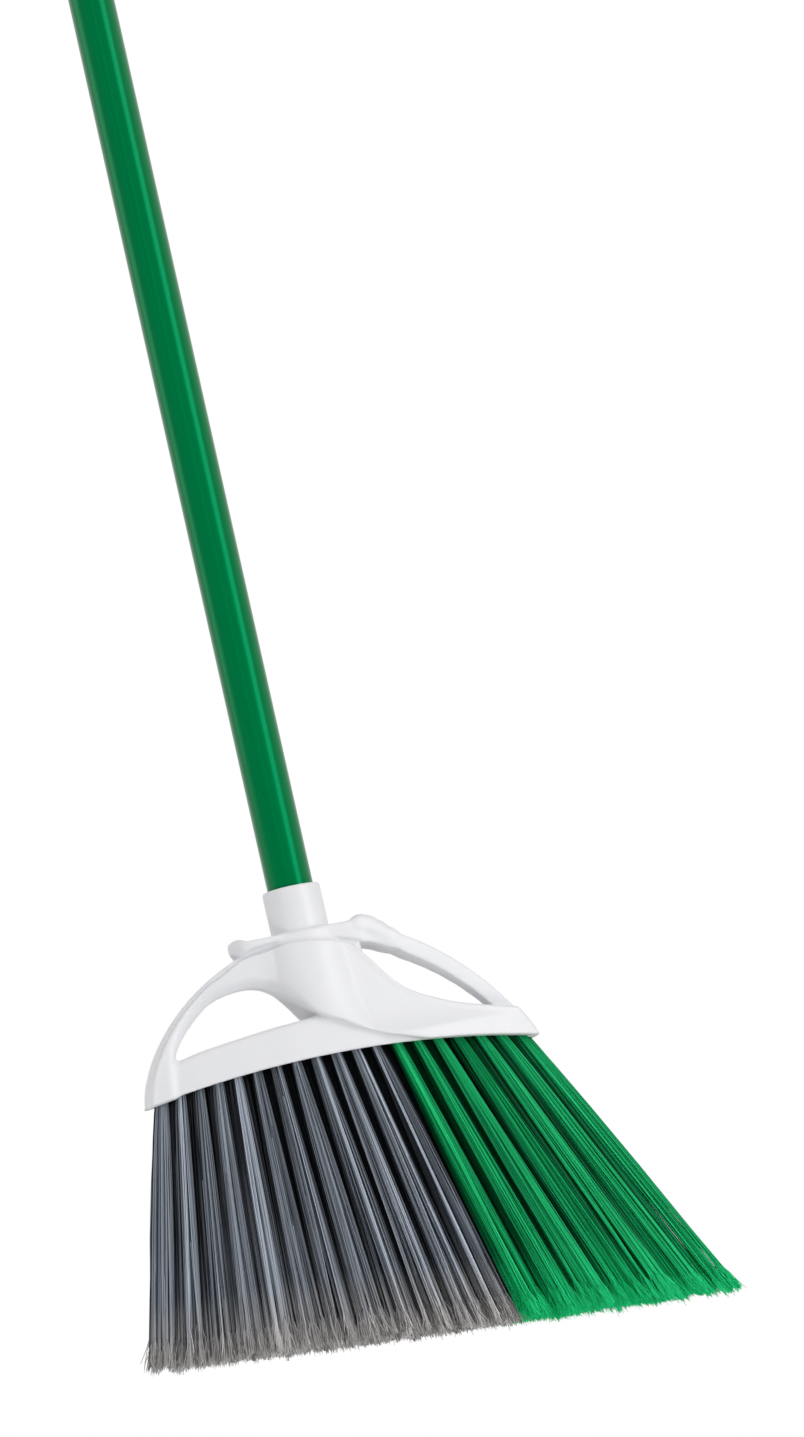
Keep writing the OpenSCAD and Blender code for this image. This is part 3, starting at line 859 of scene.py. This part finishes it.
@dataclass
class TuftFan:
    """All tufts: where they stand, how they lean and the fibres that they are made of."""

    head: HeadShell
    columns: int = 19
    grey_columns: int = 12
    rows: int = 5
    end_margin: float = 8.0
    crowd: float = 4.7
    tuft_diameter: float = 5.0
    tip_width: float = 13.2
    tip_depth: float = 14.0
    lean_first: float = -12.2
    lean_last: float = 26.8
    splay: float = 4.5
    tip_drop: float = 195.5
    tip_slope: float = 0.08
    hole_gap: float = 0.1
    wall_margin: float = 0.5
    hole_depth: float = 7.0
    hole_wall: float = 0.4
    stagger: float = 4.0
    fit_gap: float = 0.15
    root: float = 4.0

    strands: int = 26
    strand_fibres: int = 7
    loose_fibres: int = 28
    loose_spread: float = 0.08
    spread_ends: float = 0.36
    spread_middle: float = 0.8
    fibre_radius: float = 0.27
    levels: tuple[float, ...] = (-1.0, 0.0, 0.012, 0.04, 0.14, 0.3, 0.52, 0.76, 1.0)
    flag_length: float = 13.0
    flag_hairs: int = 2
    seed: int = 11

    def reach(self, place: float) -> float:
        """Distance from the middle to the outermost row at a place along the head."""
        x = np.array(self.head.shift + self.offset(place))
        bottom = self.head.edge_height(x, self.head.face_inset) + self.hole_depth
        half = float(self.head.lens(x, bottom, -self.head.wall - self.fit_gap))
        return half - self.tuft_diameter / 2 - self.hole_gap - self.wall_margin

    def offset(self, place: float) -> float:
        """Distance of a place from the head's middle: closer together on the short side."""
        share = 2 * place / (self.columns - 1) - 1
        return share * (self.head.length / 2 - self.end_margin) - self.crowd * (1 - share**2)

    def place(self, number: int, row: int) -> float:
        """Place of a tuft in columns: rows beside the middle stand half a column further on."""
        return number + 0.5 if abs(row - MIDDLE_ROW) == 1 else float(number)

    def standing(self, number: int, row: int) -> bool:
        """Whether there is room for a tuft: fewer rows stand where the head is slim."""
        reach = self.reach(self.place(number, row))
        pitch = self.tuft_diameter + 2 * self.hole_gap + self.hole_wall
        if row == MIDDLE_ROW:
            return reach >= pitch or reach * 2 < pitch
        if row in (1, self.rows):
            return reach * 2 >= pitch
        if number >= self.columns - 1 or reach < pitch:
            return False
        outer = min(self.reach(number), self.reach(number + 1))
        return outer - reach / 2 >= self.stagger

    def gather(self, random: np.random.Generator) -> tuple[Array, Array, Array]:
        """Places of a tuft's fibres across it, within a circle of radius one.

        Strand k of n sits at radius sqrt(k / n), each turned by the golden angle, as in a
        sunflower. Fibres gather round their strand, which leaves narrow gaps.

        Args:
            random: source of the tuft's own variation.

        Returns:
            The middle of each fibre's strand, its place at the root and its place at the tip.
        """
        count = self.strands * self.strand_fibres
        k = np.arange(self.strands) + 0.5
        radius = np.sqrt(k / self.strands)
        angle = k * GOLDEN_ANGLE + random.uniform(0, 2 * math.pi)
        middle = np.stack([radius * np.cos(angle), radius * np.sin(angle)], -1)
        middle = np.repeat(middle, self.strand_fibres, axis=0)
        root = middle * 0.88 + random.normal(0, 0.10, (count, 2))
        tip = middle * (1 + random.normal(0, 0.05, (count, 1)))
        tip = tip + random.normal(0, 0.085, (count, 2))
        shift = random.normal(0, 0.11, (self.strands, 2))
        tip = tip + np.repeat(shift, self.strand_fibres, axis=0)
        # Keep every fibre inside the tuft's oval.
        tip = tip / np.maximum(np.hypot(tip[:, 0], tip[:, 1]) / 1.02, 1)[:, None]
        root = root / np.maximum(np.hypot(root[:, 0], root[:, 1]) / 0.96, 1)[:, None]
        return middle, root, tip

    def fibres(self, column: float, row: int, random: np.random.Generator) -> Bundle:
        """Centre lines of one tuft's fibres.

        A fibre starts inside the hole, leaves the block's face and runs straight to the sloping
        line of the tips. Across the tuft it keeps its place, scaled from the round root to the
        wide oval tip, and wanders a little.

        Args:
            column: place of the tuft in columns.
            row: row of the tuft, 1 at the front.
            random: source of the tuft's own variation.

        Returns:
            The fibres, without the split hairs at their tips.
        """
        reach = self.reach(column)
        x0 = self.head.shift + self.offset(column)
        y0 = reach * (row - MIDDLE_ROW) / 2
        z0 = float(self.head.edge_height(np.array(x0), self.head.face_inset))
        turn = (self.lean_last - self.lean_first) * column / (self.columns - 1)
        lean = math.radians(self.lean_first + turn)
        # The slim ends splay less, or their two rows would part like a fork.
        splay = math.radians(self.splay * min(1, reach / 9) * (row - MIDDLE_ROW) / 2)
        middle, root, tip = self.gather(random)
        count = len(middle)
        t = np.array(self.levels)
        run = np.maximum(t, 0)
        slope = self.tip_slope * math.tan(lean)
        drop = (z0 + self.tip_drop + self.tip_slope * x0) / (1 - slope)
        uneven = random.normal(0, 0.6, count) - random.exponential(1.0, count)
        uneven += np.repeat(random.normal(0, 0.9, self.strands), self.strand_fibres)
        # Tufts widen sooner at the ends of the head, where fewer rows stand behind each other.
        power = self.spread_ends + (self.spread_middle - self.spread_ends) * min(reach / 10, 1)
        power = np.full((count, 1), power)
        loose = np.zeros(count, bool)
        if reach < self.tuft_diameter * 2:
            # Loose fibres spread at once and stand between this tuft and the next one.
            loose[: self.loose_fibres] = True
            power[loose] = self.loose_spread
            sides = [1] if column == 0 else [-1] if column == self.columns - 1 else [-1, 1]
            edge = random.uniform(0.78, 1.0, self.loose_fibres)
            edge = edge * np.resize(sides, self.loose_fibres)
            aside = random.uniform(-0.5, 0.5, self.loose_fibres)
            for places in (middle, root, tip):
                places[loose] = np.stack([edge, aside], -1)
            root[loose] *= 0.8
        grown = run**power
        half_w = self.tuft_diameter / 2 + (self.tip_width - self.tuft_diameter) / 2 * grown
        half_t = self.tuft_diameter / 2 + (self.tip_depth - self.tuft_diameter) / 2 * grown
        place = root[:, None] * (1 - run[:, None]) + tip[:, None] * run[:, None]
        bend = random.normal(0, 0.5, (count, 1, 2)) * np.sin(math.pi * run)[:, None]
        px = place[..., 0] * half_w / math.cos(lean) + bend[..., 0]
        py = place[..., 1] * half_t + bend[..., 1]
        down = drop * run * (1 + uneven[:, None] / drop) + px * self.tip_slope * run
        down = np.where(t < 0, -self.root, down)
        # The stretch in the hole follows the tuft's axis.
        x = x0 + down * math.tan(lean) + np.where(t < 0, px * 0.9, px)
        y = y0 + down * math.tan(splay) + py
        lines = np.stack([x, y, z0 - down], -1)
        shade = np.repeat(random.uniform(0.12, 0.84, self.strands), self.strand_fibres)
        shade = np.clip(shade + random.normal(0, 0.14, count), 0, 1)
        thick = self.fibre_radius * random.uniform(0.8, 1.2, count)
        radii = np.repeat(thick[:, None], len(t), axis=1)
        near = self.flag_length * random.uniform(0.75, 1.15, (count, 1)) - (drop - down)
        # Painted shade: each fibre's depth darkens it where the tufts would shade each other.
        depth = self.depth(row, reach, middle, run)
        # Loose fibres are painted nearly black for most of their run, as shade in the gaps between
        # tufts.
        depth[loose] = np.maximum(depth[loose], 0.97 - 0.8 * np.clip(run - 0.3, 0, 1))
        return Bundle(lines, radii, shade, depth, np.clip(near / 3.0, 0, 1))

    def depth(self, row: int, reach: float, middle: Array, run: Array) -> Array:
        """Painted shade for the fibres: how deep they lie among the tufts, from 0 in the open to 1.

        An outer row is open on its outward half, deep on its inward half and darker at its sides,
        an inner row is deep all round, and a tuft that stands alone at an end of the head is open.
        Towards the tips every row comes into the open.

        Args:
            row: row of the tuft.
            reach: distance from the middle to the outermost row there.
            middle: place of each fibre across the tuft, within a circle of radius one.
            run: share of the fibre's length at each of its points.

        Returns:
            Share of painted shade by fibre and point.
        """
        outward = {1: -1, self.rows: 1}.get(row, 0)
        if outward:
            beside = np.clip(np.abs(middle[:, 0]) - 0.5, 0, 1)
            base = np.clip(0.5 - 0.85 * outward * middle[:, 1] + 1.5 * beside, 0, 1)
        elif reach * 2 < self.tuft_diameter:
            base = np.clip(0.5 * np.abs(middle[:, 0]) - 0.1, 0, 1)
        else:
            base = np.ones(len(middle))
        return base[:, None] * (0.98 - 0.36 * eased((run - 0.45) / 0.55))

    def hairs(self, whole: Bundle, random: np.random.Generator) -> Bundle:
        """Split hairs at the tips: each fibre's end frays into finer hairs that spread apart."""
        base = np.repeat(whole.lines[:, -2:], self.flag_hairs, axis=0)
        heading = unit(base[:, 1] - base[:, 0])
        count = len(base)
        start = base[:, 1] - heading * random.uniform(0.7, 1.1, (count, 1)) * self.flag_length
        aside = random.normal(0, 1.25, (count, 3)) * [1, 0.8, 0.25]
        end = base[:, 1] + aside + heading * random.normal(0, 0.8, (count, 1))
        t = np.array([0.0, 0.35, 0.7, 1.0])[None, :, None]
        curl = random.normal(0, 0.5, (count, 1, 3)) * np.sin(math.pi * t)
        path = start[:, None] * (1 - t) + end[:, None] * t + curl * [1, 1, 0]
        radii = np.full(path.shape[:2], self.fibre_radius * 0.62) * [1, 1, 0.9, 0.6]
        shade = np.repeat(whole.shade, self.flag_hairs) + random.normal(0, 0.15, count)
        flag = np.broadcast_to(np.clip(t[..., 0] * 3, 0, 1), path.shape[:2])
        return Bundle(path, radii, np.clip(shade, 0, 1), np.zeros_like(flag), flag)

    def row_piece(self, hue: Hue, row: int, material: Material) -> None:
        """Make one row's tufts of one colour as a single piece."""
        colour, _, slot = hue.value
        split = self.grey_columns
        span = range(split) if hue is Hue.GREY else range(split, self.columns)
        numbers = [number for number in span if self.standing(number, row)]
        points, quads, triangles, layers = [], [], [], []
        total = 0
        for number in numbers:
            random = np.random.default_rng(self.seed + 100 * row + number)
            whole = self.fibres(self.place(number, row), row, random)
            for bundle in (whole, self.hairs(whole, random)):
                corners, sides, caps = bundle.tubes()
                points.append(corners)
                quads.append(sides + total)
                triangles.append(caps + total)
                layers.append(bundle.layers())
                total += len(corners)
        places = np.concatenate(points) + [0, 0, self.head.shoulder()]
        name = f"{colour}_fibres_row_{row}"
        piece = make_piece(name, places, np.concatenate(quads), np.concatenate(triangles))
        for label, values in zip(FIBRE_LAYERS, zip(*layers)):
            layer = piece.data.attributes.new(label, "FLOAT", "POINT")
            layer.data.foreach_set("value", np.concatenate(values).astype(np.float32))
        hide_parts(f"{colour}_tufts_row_{row}")
        dress(piece, material, "head")

    def build(self) -> None:
        """Make every row in both colours and dress the wires that hold the tufts."""
        wire = WIRE.build()
        for hue in Hue:
            material = hue.value[1].build()
            for row in range(1, self.rows + 1):
                self.row_piece(hue, row, material)
        for row in range(1, self.rows + 1):
            paint_node(f"tuft_anchors_row_{row}", wire)


# ---- studio


@dataclass(frozen=True)
class SoftBox:
    """Area lamp that faces the head. Degrees from the front and up, metres and watts."""

    name: str
    azimuth: float
    rise: float
    far: float
    size: tuple[float, float]
    power: float
    lift: float = 0.0

    def hang(self, aim: Vector) -> None:
        """Hang the lamp so that it faces the place this far over the aim."""
        data = bpy.data.lights.new(self.name, "AREA")
        data.shape = "RECTANGLE"
        data.size, data.size_y = self.size
        data.energy = self.power
        a, r = math.radians(self.azimuth), math.radians(self.rise)
        towards = Vector((math.sin(a) * math.cos(r), -math.cos(a) * math.cos(r), math.sin(r)))
        place = aim + Vector((0, 0, self.lift)) + towards * self.far
        turn = towards.to_track_quat("Z", "Y").to_matrix().to_4x4()
        lamp = bpy.data.objects.new(self.name, data)
        lamp.matrix_world = Matrix.Translation(place) @ turn
        bpy.context.scene.collection.objects.link(lamp)


SOFT_BOXES = (
    SoftBox("key", 40.0, 6.0, 2.2, (0.9, 2.0), 20.0, lift=0.1),
    SoftBox("side", -100.0, 25.0, 2.4, (1.0, 2.2), 7.0, lift=0.1),
    SoftBox("top", -20.0, 60.0, 2.6, (1.6, 1.6), 9.5),
    SoftBox("low", -30.0, -45.0, 2.0, (1.6, 1.2), 25.0),
)


@dataclass
class Studio:
    """Pale floor below the hanging broom, soft lights and the camera. Lengths are metres."""

    floor_z: float = -2.4
    floor_size: float = 16.0
    yaw: float = 13.9
    pitch: float = 8.0
    roll: float = 12.89
    distance: float = 2.2177
    view_degrees: float = 17.53
    right_offset: float = 0.0699
    up_offset: float = 0.0888
    ambient: float = 0.42
    floor_lift: float = 0.35

    def camera(self, aim: Vector) -> None:
        """Stand the camera at the front left and below the head, looking up at it.

        Args:
            aim: the middle of the shoulder's top face.
        """
        yaw, pitch, roll = (math.radians(a) for a in (self.yaw, self.pitch, self.roll))
        flat = math.cos(pitch)
        forward = Vector((math.sin(yaw) * flat, math.cos(yaw) * flat, math.sin(pitch)))
        level = forward.cross(Vector((0, 0, 1))).normalized()
        above = level.cross(forward)
        right = level * math.cos(roll) - above * math.sin(roll)
        up = level * math.sin(roll) + above * math.cos(roll)
        data = bpy.data.cameras.new("camera")
        data.sensor_fit = "VERTICAL"
        data.sensor_height = 24.0
        data.lens = data.sensor_height / 2 / math.tan(math.radians(self.view_degrees) / 2)
        data.clip_end = 100.0
        camera = bpy.data.objects.new("camera", data)
        place = aim - forward * self.distance + level * self.right_offset + above * self.up_offset
        turn = Matrix((right, up, -forward)).transposed().to_4x4()
        camera.matrix_world = Matrix.Translation(place) @ turn
        bpy.context.scene.collection.objects.link(camera)
        bpy.context.scene.camera = camera

    def world(self) -> None:
        """White to the camera and in reflections, a softer white for what it sheds."""
        world = bpy.data.worlds.new("studio")
        bpy.context.scene.world = world
        world.use_nodes = True
        tree = world.node_tree
        tree.nodes.clear()
        path = add_node(tree, "LightPath").outputs
        seen = path["Is Camera Ray"]
        for ray in ("Is Transmission Ray", "Is Glossy Ray"):
            pair = {0: seen, 1: path[ray]}
            seen = add_node(tree, "Math", pair, operation="MAXIMUM").outputs[0]
        span = {0: seen, "To Min": self.ambient, "To Max": 1.0}
        level = add_node(tree, "MapRange", span).outputs["Result"]
        white = {"Color": (1, 1, 1, 1), "Strength": level}
        sky = add_node(tree, "Background", white).outputs[0]
        add_node(tree, "OutputWorld", {"Surface": sky})

    def floor(self) -> None:
        """Plain pale floor that fades to white for the camera."""
        half = self.floor_size / 2 / MM
        z = self.floor_z / MM
        square = ((-half, -half, z), (half, -half, z), (half, half, z), (-half, half, z))
        floor = make_piece("floor", np.array(square), np.array([[0, 1, 2, 3]]))
        material = Finish("pale_painted_floor", 0.8).build()
        tree = material.node_tree
        # Lifted for the camera only, so that it is pale without more light on the broom.
        ray = add_node(tree, "LightPath").outputs["Is Camera Ray"]
        lift = add_node(tree, "Math", {0: ray, 1: self.floor_lift}, operation="MULTIPLY")
        glow = {"Emission Color": (1, 1, 1, 1), "Emission Strength": lift.outputs[0]}
        feed(tree.nodes["Principled BSDF"], {"Base Color": "#f4f4f4", **glow})
        floor.data.materials.append(material)

    def build(self, head: HeadShell) -> None:
        """Set the view, the camera, the lights and the floor."""
        bpy.context.scene.view_settings.view_transform = "Standard"
        aim = Vector((0.0, 0.0, head.shoulder() * MM))
        self.camera(aim)
        self.world()
        self.floor()
        for box in SOFT_BOXES:
            box.hang(aim)


def main() -> None:
    """Build every sub-assembly in order, then the studio."""
    logging.basicConfig(level=logging.INFO, format="%(name)s: %(message)s")
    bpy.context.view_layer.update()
    head = HeadShell()
    Handle().build()
    HangerCap().build()
    head.build()
    TuftFan(head).build()
    Studio().build(head)


if __name__ == "__main__":
    main()
